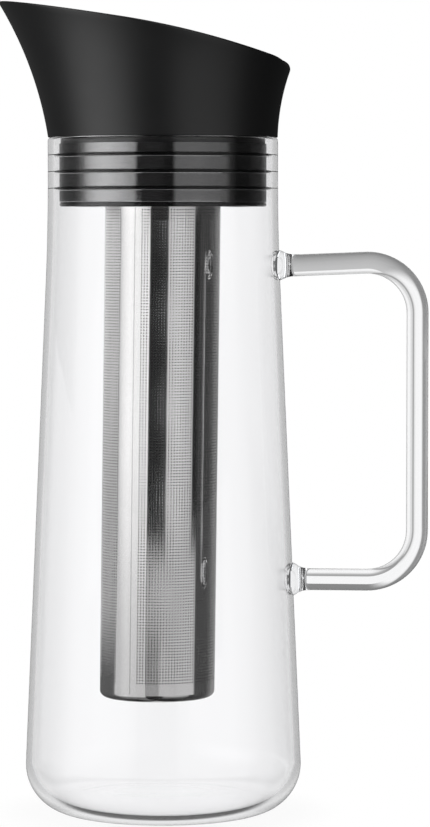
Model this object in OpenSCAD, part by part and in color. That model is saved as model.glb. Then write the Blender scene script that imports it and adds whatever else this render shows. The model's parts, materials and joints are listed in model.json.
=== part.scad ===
// Cold brew carafe: a glass jug with a bent glass-rod handle, a flared pouring
// lid that plugs into the neck, and a perforated steel brewing filter that
// hangs from the lid into the jug.
// Millimetres, +Z up. The origin is on the jug's axis at the foot, the handle
// points to +X and the pouring lip to -X.

/* [Glass jug] */
// Height of the glass from its foot to its rim
jug_h = 243; // [215:1:270]
// Outer diameter at the widest part, just above the heel
base_d = 99.4; // [92:0.2:112]
// Outer diameter of the straight neck
neck_d = 82.6; // [78:0.2:90]
// Thickness of the glass wall
wall = 2.1; // [1.6:0.1:2.8]
// Thickness of the glass floor
floor_t = 3; // [2.4:0.1:6]
// Outer radius of the heel between foot and wall
heel_r = 17.4; // [10:0.2:20]
// Height of the straight stretch of neck below the rim
neck_len = 15; // [8:1:24]
// Height over which the neck eases into the tapering wall
ease_len = 36; // [16:1:50]
// Diameter of the shallow hollow under the foot
punt_d = 52; // [30:1:58]
// Depth of the shallow hollow under the foot
punt_t = 0.8; // [0.3:0.1:1.2]

/* [Handle] */
// Diameter of the glass rod
rod_d = 7.8; // [6:0.1:10]
// Clear gap for the fingers between the widest glass and the grip
grip_gap = 37.9; // [30:0.1:48]
// Height of the lower bar's centre above the foot
bar_low_z = 84.5; // [60:0.1:100]
// Drop of the upper bar's centre below the rim
bar_drop = 45; // [36:0.1:56]
// Centre-line radius of the rod's two bends
bend_r = 18; // [10:0.5:24]
// Diameter of the pads where the rod is fused to the jug
pad_d = 13; // [11:0.1:16]
// Thickness of the pads' edge on the wall
pad_t = 0.9; // [0.5:0.1:2]

/* [Lid collar] */
// Gap between the glass rim and the collar that sits over it
seat_gap = 0.2; // [0.1:0.1:0.5]
// Step of the collar's foot in from the neck
collar_step = 0.3; // [0:0.1:1]
// Height of the collar on the axis
collar_h = 39; // [34:0.2:46]
// Thickness of the flared wall
collar_t = 2.4; // [1.8:0.1:3.2]
// Radius of the outward curve of the flare
flare_r = 145; // [120:1:190]
// Slope of the flare at its foot, from upright
flare_a = 8; // [5:0.2:11]
// Lean of the flare towards the pouring lip
lean_a = 1.5; // [0:0.1:3]
// Slope of the top edge's straight run up to the lip
rim_a = 9.1; // [6:0.1:12]
// Place across the axis where that straight run starts to curve down
crown_x = -8.8; // [-16:0.2:-2]
// Radius of the top edge's gentle crown
crown_r = 325; // [250:5:600]
// Radius of the top edge's rounded end over the handle
corner_r = 8; // [6:0.5:12]
// Height of the space under the deck
deck_h = 4.8; // [3:0.1:8]
// Thickness of the deck that closes the collar
deck_t = 2.4; // [1.8:0.1:3.2]

/* [Plug and seal] */
// Depth of the plug below the collar
plug_len = 24.9; // [22:0.1:32]
// Gap between the plug's seal and the inside of the neck
lip_reach = 2; // [1.4:0.1:3]
// Clearance of the seal's lips from the glass
lip_gap = 0.2; // [0.1:0.05:0.4]
// Height between the seal's lips
lip_pitch = 5.95; // [5:0.05:6.5]
// Number of lips on the seal
lip_count = 3; // [2:1:3]
// Drop of the top lip below the collar
lip_drop = 6.4; // [5:0.1:8]
// Height of a lip at its root
lip_h = 1.7; // [1:0.1:2.4]
// Height of a lip at its tip
lip_tip = 0.3; // [0.2:0.05:0.6]
// Thickness of the seal's sleeve
sleeve_t = 2; // [1.4:0.1:2.6]
// Wall thickness of the plug
core_t = 2.4; // [1.8:0.1:3]
// Height of the bead under the seal
bead_h = 1.5; // [1:0.1:2.2]
// Height of the collar's spigot above the seal
spigot_h = 2.4; // [1.5:0.1:3.5]
// Step of the collar's spigot in from the seal
spigot_step = 0.5; // [0.2:0.1:1]
// Number of pouring slots in the plug's floor
slot_count = 4; // [3:1:6]
// Width of the ribs between the slots
slot_rib = 7; // [4:0.5:10]
// Width of the plain edge on each side of the slots
slot_edge = 1.2; // [0.8:0.1:2]

/* [Pouring flap] */
// Ledge of the deck round the pouring mouth
mouth_ledge = 1.8; // [1:0.1:3]
// Overlap of the flap past the mouth
flap_lap = 2.4; // [1.5:0.1:3.5]
// Thickness of the flap
flap_t = 2; // [1.5:0.1:2.6]
// Gap between the closed flap and the deck
flap_gap = 0.3; // [0.2:0.05:0.5]
// Distance of the hinge behind the axis
hinge_x = 2; // [0:0.5:6]
// Diameter of the hinge pin
pin_d = 2.5; // [2:0.1:3]
// Radial running clearance of the flap on its pin
pin_gap = 0.05; // [0.03:0.01:0.08]
// Outer diameter of the flap's hinge barrel
barrel_d = 5.2; // [4.8:0.1:6.4]
// Length of the hinge barrel
barrel_len = 40; // [30:0.5:44]
// Thickness of the two lugs that hold the pin
lug_t = 4; // [3:0.1:5]
// Side gap between barrel and lugs
lug_gap = 0.3; // [0.2:0.05:0.6]

/* [Brewing filter] */
// Outer diameter of the filter tube
filter_d = 40.6; // [36:0.2:44]
// Thickness of the filter's sheet steel
filter_t = 0.6; // [0.4:0.1:1]
// Height of the filter's base above the jug's floor
filter_clear = 38.7; // [20:0.1:60]
// Radius of the rounded edge of the base
base_edge_r = 2.5; // [1.5:0.1:2.6]
// Height of the base below the tube
base_h = 2.8; // [2.7:0.1:5]
// Height of the base's spigot inside the tube
base_spigot_h = 4; // [3:0.1:6]
// Wall thickness of the base's spigot
base_spigot_t = 1.2; // [0.8:0.1:2]
// Diameter of one brewing hole
hole_d = 1.6; // [0.8:0.1:2.4]
// Spacing of the brewing holes
hole_pitch = 7.5; // [6:0.1:12]
// Plain height above the base before the first row of holes
hole_start = 6; // [5:0.5:12]
// Width of the plain strip along the lap seam
seam_w = 8.2; // [5:0.1:12]
// Direction of the seam, from +X
seam_a = -118; // [-180:1:180]
// Depth of the filter's collar inside the plug
socket_h = 14; // [12:0.1:16]
// Clearance between the filter's collar and its socket
socket_gap = 0.6; // [0.4:0.05:0.9]
// Wall thickness of the socket and of its closed top
socket_t = 2.2; // [1.6:0.1:3]
// Gap between the filter's collar and the socket's closed top
socket_head = 0.8; // [0.4:0.1:1]
// Depth of the tube's end inside the socket
tube_in = 1.5; // [1:0.1:3]
// Length of the filter's collar inside the tube
collar_in = 6; // [4:0.1:10]
// Wall thickness of the filter's collar
ring_t = 3; // [2.6:0.1:3.6]
// Diameter of the sealing ring's section
oring_d = 1.8; // [1.6:0.1:2]
// Clearance of the sealing ring from the socket
oring_gap = 0.2; // [0.1:0.05:0.3]
// Drop of the sealing ring below the top of the filter's collar
oring_drop = 5.4; // [3:0.1:7]

/* [Hidden] */
$fn = 96;

// Small overlap that makes a cut or a joined shape run clean through
bite = 1;
// Hair by which the heel's round stands out, so that it crosses the wall's line
heel_bulge = 0.04;

// Jug: radii, the angle of its tapering wall and the heights of its neck
base_r = base_d / 2;
neck_r = neck_d / 2;
neck_in_r = neck_r - wall;
heel_c = base_r - heel_r;
ease_z = jug_h - neck_len - ease_len / 2;
taper_a = atan2(ease_z - heel_r, neck_r - heel_c)
          - acos(heel_r / norm([neck_r - heel_c, ease_z - heel_r]));
ease_r = ease_len / 2 / tan(taper_a / 2);

// Handle: places of the bars and of the grip
bar_top_z = jug_h - bar_drop;
grip_x = base_r + grip_gap + rod_d / 2;

// Lid: heights from the collar's foot
collar_z = jug_h + seat_gap;
foot_r = neck_r - collar_step;
deck_z = collar_z + deck_h;
deck_top = deck_z + deck_t;
plug_z = collar_z - plug_len;
plug_r = neck_in_r - lip_reach;
lip_r = neck_in_r - lip_gap;
core_r = plug_r - sleeve_t;
core_in_r = core_r - core_t;
spigot_r = plug_r - spigot_step;
deck_r = foot_r - collar_t / 2;

// Top edge: height where its crown starts, and the crown's slope at the rounded end
axis_a = asin(sin(rim_a) - crown_x / crown_r);
crown_z = collar_h + crown_r * (cos(rim_a) - cos(axis_a));
end_a = asin(sin(rim_a) + (foot_r - crown_x) / crown_r);
end_z = crown_z - crown_r * (cos(rim_a) - cos(end_a));

// Pouring flap: mouth, plate and hinge
mouth_r = core_in_r - mouth_ledge;
flap_r = mouth_r + flap_lap;
flap_z = deck_top + flap_gap;
hinge_z = flap_z + barrel_d / 2;
lug_y = barrel_len / 2 + lug_gap;
pin_len = 2 * (lug_y + lug_t);

// Filter: radii, its socket in the plug and its heights
filter_r = filter_d / 2;
filter_in_r = filter_r - filter_t;
filter_z = floor_t + filter_clear;
tube_z = filter_z + base_h;
tube_top = plug_z + tube_in;
socket_r = filter_r + socket_gap;
socket_out_r = socket_r + socket_t;
ring_top = plug_z + socket_h;
oring_r = socket_r - oring_gap - oring_d / 2;
oring_z = ring_top - oring_drop;

// Outer radius of the tapering glass wall at a height
function jug_r(z) = heel_c + (heel_r - (z - heel_r) * sin(taper_a)) / cos(taper_a);

// Points of the eased stretch between wall and neck, set in from the outside
function ease_points(inset, steps = 6) =
    [for (i = [steps:-1:0])
        let (t = taper_a * i / steps)
        [neck_r + ease_r - (ease_r + inset) * cos(t),
         ease_z + ease_len / 2 - (ease_r + inset) * sin(t)]];

// Half section of the jug's outside, or of its hollow when set in
module jug_section(inset, low, top) {
    rad = heel_r - inset;
    cz = low + rad;
    cr = heel_c - (cz - heel_r) * tan(taper_a);
    polygon(concat(
        [[0, low], [cr, low], [cr - heel_bulge + rad * cos(taper_a), cz + rad * sin(taper_a)]],
        [for (p = ease_points(inset)) p - [heel_bulge, 0]],
        [[neck_r - inset - heel_bulge, top], [0, top]]));
    translate([cr, cz]) circle(rad);
}

// Solid of the jug as if it were filled, used to fit the handle to the wall
module jug_solid() {
    rotate_extrude() jug_section(0, 0, jug_h);
}

module glass_body() {
    color([0.86, 0.92, 0.93, 0.35])
    rotate_extrude() {
        difference() {
            jug_section(0, 0, jug_h - wall / 2);
            jug_section(wall, floor_t, jug_h + bite);
            polygon([[0, -bite], [punt_d / 2 + 2 * bite, -bite],
                     [punt_d / 2 - 2 * punt_t, punt_t], [0, punt_t]]);
        }
        translate([neck_r - wall / 2, jug_h - wall / 2]) intersection() {
            circle(wall / 2);
            translate([-wall, 0]) square([2 * wall, wall]);
        }
    }
}

// One straight bar of the handle, from inside the wall to the bend
module handle_bar(z) {
    translate([neck_r - wall, 0, z]) rotate([0, 90, 0])
        cylinder(d = rod_d, h = grip_x - bend_r - neck_r + wall);
}

// Flared pad that fuses a bar to the wall
module handle_pad(z) {
    flare = (pad_d - rod_d) / 2;
    translate([jug_r(z) - bite, 0, z]) rotate([0, 90, 0]) rotate_extrude() {
        square([pad_d / 2, bite + pad_t]);
        difference() {
            square([pad_d / 2, bite + pad_t + flare]);
            translate([pad_d / 2, bite + pad_t + flare]) circle(flare);
        }
    }
}

// Quarter bend of the handle
module handle_bend(z, turn) {
    translate([grip_x - bend_r, 0, z]) rotate([90, 0, 0]) rotate([0, 0, turn])
        rotate_extrude(angle = 90) translate([bend_r, 0]) circle(d = rod_d);
}

module glass_handle() {
    color([0.86, 0.92, 0.93, 0.35])
    difference() {
        union() {
            for (z = [bar_low_z, bar_top_z]) {
                handle_bar(z);
                handle_pad(z);
            }
            handle_bend(bar_low_z + bend_r, -90);
            handle_bend(bar_top_z - bend_r, 0);
            translate([grip_x, 0, bar_low_z + bend_r])
                cylinder(d = rod_d, h = bar_top_z - bar_low_z - 2 * bend_r);
        }
        jug_solid();
    }
}

// Half section between the collar's two curves, from below its foot upwards
module flare_section() {
    top = collar_h * 1.6;
    intersection() {
        translate([0, -3 * bite]) square([foot_r + top, top]);
        translate([foot_r + flare_r * cos(flare_a), -flare_r * sin(flare_a)])
            difference() {
                circle(flare_r + collar_t, $fn = 240);
                circle(flare_r, $fn = 240);
            }
    }
}

// Side view of the space below the top edge: straight to the lip, crowned, then rounded off
module rim_section() {
    run = 2 * foot_r + crown_x;
    polygon([[-2 * foot_r, 0], [crown_x, 0], [crown_x, crown_z],
             [-2 * foot_r, crown_z + run * tan(rim_a)]]);
    intersection() {
        translate([crown_x - bite, 0]) square([foot_r - crown_x + bite, 2 * collar_h]);
        translate([crown_x - crown_r * sin(rim_a), crown_z - crown_r * cos(rim_a)])
            circle(crown_r, $fn = 360);
    }
    translate([foot_r - corner_r * sin(end_a), end_z - corner_r * cos(end_a)]) {
        circle(corner_r);
        translate([0, corner_r * cos(end_a) - end_z]) square([corner_r, end_z - corner_r * cos(end_a)]);
    }
}

// Block that the flare is cut to: flat below, with the sloping top edge above
module collar_envelope() {
    translate([0, 2 * foot_r, collar_z])
        rotate([90, 0, 0]) linear_extrude(4 * foot_r) rim_section();
}

// Half of a disc on the spout's side of a line
module half_disc(r, x) {
    intersection() {
        circle(r);
        translate([-r - bite, -r]) square([r + bite + x, 2 * r]);
    }
}

// Lug that carries one end of the hinge pin
module pin_lug(y) {
    translate([hinge_x, y + lug_t / 2, deck_top]) {
        translate([-pin_d, -lug_t, -bite]) cube([2 * pin_d, lug_t, hinge_z - deck_top + bite]);
        translate([0, 0, hinge_z - deck_top]) rotate([90, 0, 0]) cylinder(r = pin_d, h = lug_t);
    }
}

// Straight run of the hinge's line, for the pin and the holes round it
module hinge_rod(d, len) {
    translate([hinge_x, len / 2, hinge_z]) rotate([90, 0, 0]) cylinder(d = d, h = len);
}

module spout_collar() {
    color([0.10, 0.10, 0.11])
    difference() {
        union() {
            intersection() {
                translate([0, 0, collar_z]) rotate([0, -lean_a, 0])
                    rotate_extrude() flare_section();
                collar_envelope();
            }
            translate([0, 0, collar_z]) cylinder(r = deck_r, h = deck_h + deck_t);
            translate([0, 0, collar_z - spigot_h]) cylinder(r = spigot_r, h = spigot_h + bite);
            for (y = [-1, 1]) pin_lug(y * (lug_y + lug_t / 2));
        }
        translate([0, 0, collar_z - spigot_h - bite])
            cylinder(r = core_r, h = spigot_h + deck_h + bite);
        translate([0, 0, deck_z - bite])
            linear_extrude(deck_t + 2 * bite) half_disc(mouth_r, hinge_x - barrel_d);
        hinge_rod(pin_d, pin_len + 2 * bite);
    }
}

// Half section of the plug's cup, its bead, its floor and the filter's socket
module core_section() {
    translate([core_in_r, plug_z]) square([core_t, deck_z - plug_z]);
    translate([core_in_r, plug_z]) square([plug_r - bead_h / 2 - core_in_r, bead_h]);
    translate([plug_r - bead_h / 2, plug_z + bead_h / 2]) circle(bead_h / 2);
    translate([socket_r, plug_z]) square([core_in_r - socket_r + bite, core_t]);
    translate([socket_r, plug_z]) square([socket_t, socket_h + socket_head + socket_t]);
    translate([0, ring_top + socket_head]) square([socket_out_r, socket_t]);
}

// One pouring slot between two ribs of the plug's floor
module pour_slot() {
    low = socket_out_r + slot_edge;
    high = core_in_r - slot_edge;
    turn = 360 / slot_count - 2 * asin(slot_rib / 2 / low);
    rotate([0, 0, -turn / 2]) rotate_extrude(angle = turn)
        translate([low, plug_z - bite]) square([high - low, core_t + 2 * bite]);
}

module plug_core() {
    color([0.06, 0.06, 0.065])
    difference() {
        rotate_extrude() core_section();
        for (i = [0:slot_count - 1]) rotate([0, 0, 180 + i * 360 / slot_count]) pour_slot();
    }
}

// Half section of one pointed lip of the seal
module lip_section(z) {
    root = plug_r - sleeve_t / 2;
    polygon([[root, z - lip_h / 2], [plug_r, z - lip_h / 2], [lip_r, z - lip_tip / 2],
             [lip_r, z + lip_tip / 2], [plug_r, z + lip_h / 2], [root, z + lip_h / 2]]);
}

module seal_sleeve() {
    color([0.05, 0.05, 0.055])
    rotate_extrude() {
        translate([core_r, plug_z + bead_h])
            square([sleeve_t, plug_len - bead_h - spigot_h]);
        for (i = [0:lip_count - 1]) lip_section(collar_z - lip_drop - i * lip_pitch);
    }
}

module pour_flap() {
    color([0.12, 0.12, 0.13])
    difference() {
        union() {
            translate([0, 0, flap_z]) linear_extrude(flap_t) {
                half_disc(flap_r, hinge_x - barrel_d);
                translate([hinge_x - barrel_d - bite, -barrel_len / 2])
                    square([barrel_d + bite, barrel_len]);
            }
            hinge_rod(barrel_d, barrel_len);
        }
        hinge_rod(pin_d + 2 * pin_gap, barrel_len + 2 * bite);
    }
}

module flap_pin() {
    color([0.75, 0.76, 0.78]) hinge_rod(pin_d, pin_len);
}

// Rows and columns of brewing holes, with a plain strip along the seam
hole_rows = floor((tube_top - collar_in - hole_start - tube_z) / hole_pitch);
hole_span = 360 - 2 * asin(seam_w / 2 / filter_r);
hole_cols = floor(hole_span / 360 * PI * filter_d / hole_pitch);

module filter_tube() {
    color([0.78, 0.79, 0.80])
    difference() {
        translate([0, 0, tube_z]) cylinder(r = filter_r, h = tube_top - tube_z);
        translate([0, 0, tube_z - bite]) cylinder(r = filter_in_r, h = tube_top - tube_z + 2 * bite);
        for (row = [0:hole_rows - 1], col = [0:hole_cols - 1])
            rotate([0, 0, seam_a + 180 - hole_span / 2 + (col + 0.5) * hole_span / hole_cols])
                translate([filter_in_r - bite, 0, tube_z + hole_start + row * hole_pitch])
                    rotate([0, 90, 0]) cylinder(d = hole_d, h = filter_t + 2 * bite, $fn = 16);
    }
}

module filter_base() {
    color([0.80, 0.81, 0.82])
    rotate_extrude() {
        translate([0, filter_z]) square([filter_r - base_edge_r, base_h]);
        translate([0, filter_z + base_edge_r]) square([filter_r, base_h - base_edge_r]);
        intersection() {
            translate([filter_r - base_edge_r, filter_z + base_edge_r]) circle(base_edge_r);
            translate([0, filter_z]) square([filter_r, base_h]);
        }
        translate([filter_in_r - base_spigot_t, tube_z - bite])
            square([base_spigot_t, base_spigot_h + bite]);
    }
}

module filter_collar() {
    color([0.14, 0.14, 0.15])
    rotate_extrude() difference() {
        union() {
            translate([filter_r - ring_t, tube_top - collar_in])
                square([ring_t - filter_t, collar_in + bite]);
            translate([filter_r - ring_t, tube_top]) square([ring_t, ring_top - tube_top]);
        }
        translate([oring_r - oring_d / 2, oring_z - oring_d / 2]) square([ring_t, oring_d]);
    }
}

module filter_oring() {
    color([0.05, 0.05, 0.05])
    translate([0, 0, oring_z]) rotate_extrude() translate([oring_r, 0]) circle(d = oring_d);
}

glass_body();
glass_handle();
spout_collar();
plug_core();
seal_sleeve();
pour_flap();
flap_pin();
filter_tube();
filter_base();
filter_collar();
filter_oring();
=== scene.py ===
"""A cold brew carafe, dressed: every piece is modelled and finished over the packed solids."""

import json
import math

import bpy
from bpy.props import FloatProperty, FloatVectorProperty, PointerProperty
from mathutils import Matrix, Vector


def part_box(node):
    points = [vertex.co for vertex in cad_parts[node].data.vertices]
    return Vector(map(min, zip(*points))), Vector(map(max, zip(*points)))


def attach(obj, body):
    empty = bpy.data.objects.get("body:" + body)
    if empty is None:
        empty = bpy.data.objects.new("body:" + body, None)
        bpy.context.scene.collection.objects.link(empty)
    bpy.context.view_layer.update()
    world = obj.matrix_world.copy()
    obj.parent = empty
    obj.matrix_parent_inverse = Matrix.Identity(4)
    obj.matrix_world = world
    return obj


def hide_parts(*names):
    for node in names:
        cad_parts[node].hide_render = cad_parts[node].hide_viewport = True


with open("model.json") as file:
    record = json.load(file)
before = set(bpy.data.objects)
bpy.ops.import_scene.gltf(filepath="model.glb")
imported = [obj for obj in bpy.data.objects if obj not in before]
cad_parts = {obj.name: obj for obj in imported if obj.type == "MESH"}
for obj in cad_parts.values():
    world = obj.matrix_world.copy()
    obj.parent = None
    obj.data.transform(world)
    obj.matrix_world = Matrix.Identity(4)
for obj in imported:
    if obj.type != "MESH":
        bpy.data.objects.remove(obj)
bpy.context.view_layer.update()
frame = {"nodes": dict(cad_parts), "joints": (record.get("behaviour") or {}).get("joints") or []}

bl_info = {
    "name": "Cold brew carafe",
    "version": (1, 0, 0),
    "blender": (4, 5, 0),
    "location": "View3D > Sidebar > Carafe",
    "description": "Models a glass carafe with its rod handle, pouring lid and brewing filter",
    "category": "Object",
}

# Places that the packed solids give
_, JUG_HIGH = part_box("glass_body")
HANDLE_LOW, HANDLE_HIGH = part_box("glass_handle")
PLUG_LOW, PLUG_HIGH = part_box("plug_core")
SEAL_LOW, SEAL_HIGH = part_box("seal_sleeve")
FLAP_LOW, FLAP_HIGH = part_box("pour_flap")
PIN_LOW, PIN_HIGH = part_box("flap_pin")
TUBE_LOW, TUBE_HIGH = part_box("filter_tube")
BASE_LOW, BASE_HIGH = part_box("filter_base")
_, RING_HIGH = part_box("filter_collar")

# Units and fineness of the meshes
MM = 0.001
FULL_TURN = 2 * math.pi
QUARTER_TURN = math.pi / 2
TURN_STEPS = 192
ROD_SIDES = 48
BEND_STEPS = 20
ARC_STEPS = 16
HEEL_STEPS = 24
HOLLOW_STEPS = 12
FLARE_ROWS = 24
RIM_STEPS = 6
DISC_STEPS = 72
CORNER_STEPS = 3
SOLVE_STEPS = 40
MERGE_DISTANCE = 0.002 * MM
SMOOTH_ANGLE = math.radians(32)
BEVEL_ANGLE = math.radians(40)

# Small measures: cutters and joined pieces overlap by a bite, and support points keep long faces flat
BITE = 1 * MM
SUPPORT = 0.4 * MM
STRAIGHT_ENDS = (0.02, 0.98)
CORNER_SHARE = 0.45
TOP_BAR_LIFT = 0.35 * MM
TUBE_GROWTH = 0.5 * MM
SHOULDER = 0.5 * MM
EDGE_ROUND = 0.5 * MM
LIP_ROUND = 0.12 * MM
FLAP_ROUND = 0.4 * MM
PIN_PLAY = 0.05 * MM
SEAM_MARGIN = 0.16 * MM
BASE_DROP = 1 * MM
RIM_ZONE = 3 * MM
SLOPES_SEARCHED = (math.radians(-5), math.radians(40))

# Names that the materials got, by the names asked for, as a packed solid's material may hold the same name
MATERIAL_NAMES = {}


def length(name, description, metres):
    """A size that a user may change, kept in metres."""
    return FloatProperty(name=name, description=description, default=metres, unit="LENGTH", precision=5)


def angle(name, description, degrees):
    """A direction or slope that a user may change."""
    return FloatProperty(
        name=name, description=description, default=math.radians(degrees), subtype="ANGLE"
    )


def amount(name, description, value):
    """A share or strength that a user may change."""
    return FloatProperty(name=name, description=description, default=value, min=0)


def colour(name, description, red, green, blue):
    """A colour that a user may change."""
    return FloatVectorProperty(
        name=name, description=description, default=(red, green, blue), subtype="COLOR", min=0, max=1
    )


class JugSizes(bpy.types.PropertyGroup):
    """Sizes of the blown glass jug"""

    height: length("Height", "Glass from foot to rim", JUG_HIGH.z)
    base_radius: length("Base radius", "Outside, at the widest part above the heel", JUG_HIGH.x)
    neck_radius: length("Neck radius", "Outside of the straight neck", 41.3 * MM)
    wall: length("Wall", "Thickness of the glass", 2.1 * MM)
    floor: length("Floor", "Thickness of the bottom", 3.0 * MM)
    heel_radius: length("Heel radius", "Outside round between foot and wall", 17.4 * MM)
    neck_length: length("Neck length", "Straight stretch below the rim", 15 * MM)
    ease_length: length("Ease length", "Stretch that eases from the taper to the neck", 36 * MM)
    hollow_radius: length("Hollow radius", "Shallow hollow under the foot", 26 * MM)
    hollow_depth: length("Hollow depth", "Rise of the hollow under the foot", 0.8 * MM)


class HandleSizes(bpy.types.PropertyGroup):
    """Sizes of the bent rod handle"""

    rod_radius: length("Rod radius", "Half the thickness of the rod", 3.9 * MM)
    reach: length("Reach", "Outside of the grip from the jug's axis", HANDLE_HIGH.x)
    low_z: length("Lower bar", "Height of the lower bar's centre", HANDLE_LOW.z + HANDLE_HIGH.y)
    top_z: length(
        "Upper bar", "Height of the upper bar's centre", HANDLE_HIGH.z - HANDLE_HIGH.y + TOP_BAR_LIFT
    )
    bend_radius: length("Bend radius", "Centre-line radius of the two bends", 18 * MM)
    pad_width: length("Pad width", "Half the width of a fused pad", 8.6 * MM)
    low_pad_height: length("Lower pad height", "Half the height of the lower pad", 5.9 * MM)
    top_pad_height: length("Upper pad height", "Half the height of the upper pad", 5.4 * MM)
    top_sag: length("Upper bar sag", "Drop of the upper bar towards the jug", 1.0 * MM)


class LidSizes(bpy.types.PropertyGroup):
    """Sizes of the pouring lid"""

    seat_z: length("Seat", "Height of the collar's foot", JUG_HIGH.z + 0.2 * MM)
    foot_radius: length("Foot radius", "Outside of the collar at its foot", 41.2 * MM)
    height: length("Height", "Collar from foot to top edge, on the axis", 39.0 * MM)
    wall: length("Wall", "Thickness of the flared wall", 2.4 * MM)
    lip_curve: length("Lip curve", "Radius of the wall's outward curve below the lip", 132 * MM)
    lip_slope: angle("Lip slope", "Slope of the wall's foot below the lip", 9.0)
    back_curve: length("Back curve", "Radius of the wall's outward curve over the handle", 76.7 * MM)
    back_slope: angle("Back slope", "Slope of the wall's foot over the handle", 1.5)
    rim_slope: angle("Rim slope", "Slope of the top edge's straight run to the lip", 9.1)
    crown_start: length("Crown start", "Place where the top edge starts to curve down", -8.8 * MM)
    crown_radius: length("Crown radius", "Gentle crown of the top edge", 325 * MM)
    corner_radius: length("Corner radius", "Rounded end of the top edge over the handle", 8 * MM)
    rim_round: length("Rim round", "Radius of the rounded top edge", 1.0 * MM)
    deck_radius: length("Deck radius", "Outside of the deck", 39.8 * MM)
    deck_wall: length("Deck thickness", "Thickness of the deck", 2.4 * MM)
    spigot: length("Spigot", "Depth of the collar's spigot above the seal", 2.4 * MM)
    spigot_radius: length("Spigot radius", "Outside of the spigot", 36.7 * MM)
    core_radius: length("Core radius", "Outside of the plug under its seal", 35.2 * MM)
    core_wall: length("Core wall", "Thickness of the plug's wall and floor", 2.4 * MM)
    bead: length("Bead", "Height of the bead under the seal", 1.5 * MM)
    socket_radius: length("Socket radius", "Inside of the filter's socket", 20.9 * MM)
    socket_wall: length("Socket wall", "Thickness of the filter's socket", 2.2 * MM)
    socket_head: length("Socket head", "Gap above the filter's collar", 0.8 * MM)
    slot_rib: length("Slot rib", "Width of the ribs between the pouring slots", 7 * MM)
    slot_edge: length("Slot edge", "Plain edge on each side of a slot", 1.2 * MM)
    lip_pitch: length("Lip pitch", "Height between the seal's lips", 5.95 * MM)
    lip_drop: length("Lip drop", "Drop of the top lip below the collar", 6.4 * MM)
    lip_radius: length("Lip radius", "Reach of the lips, pressed on the glass", 39.23 * MM)
    lip_root: length("Lip root", "Height of a lip at its root", 1.1 * MM)
    lip_tip: length("Lip tip", "Height of a lip at its tip", 0.3 * MM)
    mouth_radius: length("Mouth radius", "Round of the pouring mouth", 31 * MM)
    barrel_length: length("Barrel length", "Length of the flap's hinge barrel", 40 * MM)
    flap_wall: length("Flap thickness", "Thickness of the flap", 2.0 * MM)
    lug_gap: length("Lug gap", "Side gap between barrel and lugs", 0.3 * MM)


class FilterSizes(bpy.types.PropertyGroup):
    """Sizes of the brewing filter"""

    radius: length("Radius", "Outside of the tube below the lid", TUBE_HIGH.x + TUBE_GROWTH)
    lean: angle("Lean", "Lean of the hanging filter towards the lip", 0.73)
    sheet: length("Sheet", "Thickness of the filter's steel", 0.6 * MM)
    base_edge: length("Base edge", "Radius of the base's rounded edge", 2.5 * MM)
    base_spigot: length("Base spigot", "Thickness of the base's spigot", 1.2 * MM)
    seam: angle("Seam", "Direction of the seam line from the handle", -112.2)
    seam_depth: length("Seam depth", "Depth of the seam line", 0.25 * MM)
    strip: angle("Plain strip", "Direction of the middle of the plain strip", -117.1)
    strip_width: angle("Strip width", "Half the plain strip along the seam", 11.7)
    hole_radius: length("Hole radius", "Radius of one brewing hole", 0.27 * MM)
    hole_pitch: length("Hole pitch", "Spacing of the brewing holes", 1.04 * MM)
    hole_start: length("First row", "Plain height above the tube's lower end", 3.7 * MM)


class Finishes(bpy.types.PropertyGroup):
    """Colours of the carafe's materials"""

    glass: colour("Glass", "Tint of the clear glass", 0.987, 0.987, 0.992)
    glass_sheen: colour("Glass sheen", "Tint of the glass's reflections", 0.45, 0.45, 0.45)
    glass_depth: colour("Glass depth", "Colour that thick glass takes on", 0.66, 0.68, 0.71)
    soft_black: colour("Soft black", "Soft-touch collar and flap", 0.0045, 0.0047, 0.0050)
    gloss_black: colour("Gloss black", "Plug and filter collar", 0.010, 0.0105, 0.011)
    silicone: colour("Silicone", "Seal and sealing ring", 0.012, 0.0125, 0.013)
    steel: colour("Steel", "Filter and hinge pin", 0.60, 0.595, 0.59)


class StageSettings(bpy.types.PropertyGroup):
    """Camera, light and floor"""

    view_turn: angle("View turn", "Direction of the camera round the carafe", 6)
    view_distance: length("View distance", "Camera from the carafe's axis", 1.306)
    view_height: length("View height", "Camera above the floor", 0.2133)
    view_tilt: angle("View tilt", "Tilt of the camera from straight down", 86.96)
    view_swing: angle("View swing", "Direction that the camera faces", 5.18)
    lens: amount("Lens", "Focal length in millimetres", 158)
    light: amount("Light", "Brightness of the large light on the left", 2.0)
    top_light: amount("Top light", "Brightness of the light overhead", 1.0)
    dark: amount("Dark", "Brightness of the studio below the lights", 0.1)
    backdrop: amount("Backdrop", "Brightness of the white backdrop through the glass", 0.98)
    flag_depth: amount("Flag depth", "Darkening of the glass by the flags beside the backdrop", 0.17)
    fill: amount("Fill", "Brightness of the white room beside the filter", 1.0)
    table: amount("Table", "Brightness of the table that the filter's lower end shows", 0.82)
    under: amount("Under", "Brightness of the room below and above the backdrop", 0.07)
    high_card: amount("High card", "Brightness of the grey card behind the upper bar", 0.56)
    low_card: amount("Low card", "Brightness of the grey card behind the lower bar", 0.26)
    stripes: amount("Stripes", "Depth of the dark stripes in the handle's rod", 0.65)
    floor: colour("Floor", "Colour of the pale floor", 0.9, 0.9, 0.9)
    floor_radius: length("Floor radius", "Size of the floor", 0.068)


# Distance from the wall in millimetres, and share of the pad in the blend from pad to rod
PAD_BLEND = (
    (-1.4, 1.0), (0.2, 1.0), (0.9, 0.86), (1.6, 0.64), (2.3, 0.42), (3.1, 0.23), (4.0, 0.1), (5.0, 0.03),
    (6.2, 0.0),
)

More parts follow.
